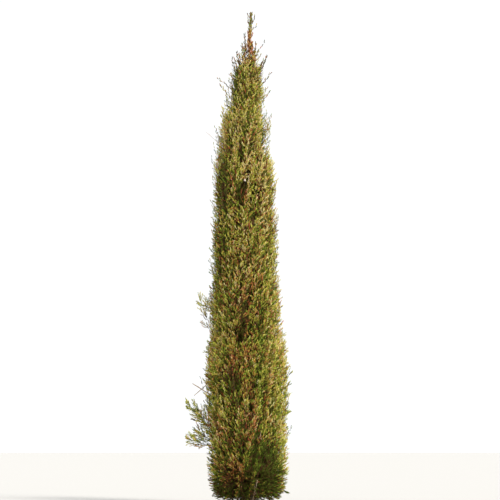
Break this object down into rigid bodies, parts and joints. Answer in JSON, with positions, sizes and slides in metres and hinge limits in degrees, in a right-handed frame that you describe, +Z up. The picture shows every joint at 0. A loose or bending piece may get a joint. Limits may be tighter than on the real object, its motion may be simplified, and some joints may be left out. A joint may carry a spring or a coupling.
{
  "type": "columnar cypress tree",
  "caption": "Narrow upright conifer with foliage from the ground to a wispy leading shoot, a flared trunk inside it and a flat cut at ground level.",
  "frame": {"origin": "centre of the trunk's flat cut at ground level", "axes": "+Z up the trunk; -Y towards the picture's camera; +X to the picture's right"},
  "size_m": [0.8304, 0.701, 3.9927],
  "materials": {
    "bark": "rough, fibrous, in long strips",
    "young_bark": "matt, thin and flaking",
    "foliage": "matt, olive green with rust brown in it"
  },
  "bodies": {
    "root": {"bough_1a": "young_bark", "bough_1b": "young_bark", "bough_1c": "young_bark", "bough_1d": "young_bark", "bough_1e": "young_bark", "bough_2a": "young_bark", "bough_2b": "young_bark", "bough_2c": "young_bark", "bough_2d": "young_bark", "bough_2e": "young_bark", "bough_3a": "young_bark", "bough_3b": "young_bark", "bough_3c": "young_bark", "bough_3d": "young_bark", "bough_4a": "young_bark", "bough_4b": "young_bark", "bough_4c": "young_bark", "bough_4d": "young_bark", "bough_5a": "young_bark", "bough_5b": "young_bark", "bough_5c": "young_bark", "bough_5d": "young_bark", "bough_6a": "young_bark", "bough_6b": "young_bark", "bough_6c": "young_bark", "foliage_1a": "foliage", "foliage_1b": "foliage", "foliage_1c": "foliage", "foliage_1d": "foliage", "foliage_1e": "foliage", "foliage_2a": "foliage", "foliage_2b": "foliage", "foliage_2c": "foliage", "foliage_2d": "foliage", "foliage_2e": "foliage", "foliage_3a": "foliage", "foliage_3b": "foliage", "foliage_3c": "foliage", "foliage_3d": "foliage", "foliage_4a": "foliage", "foliage_4b": "foliage", "foliage_4c": "foliage", "foliage_4d": "foliage", "foliage_5a": "foliage", "foliage_5b": "foliage", "foliage_5c": "foliage", "foliage_5d": "foliage", "foliage_6a": "foliage", "foliage_6b": "foliage", "foliage_6c": "foliage", "foliage_7a": "foliage", "foliage_7b": "foliage", "foliage_7c": "foliage", "foliage_8a": "foliage", "trunk": "bark"}
  },
  "joints": []
}
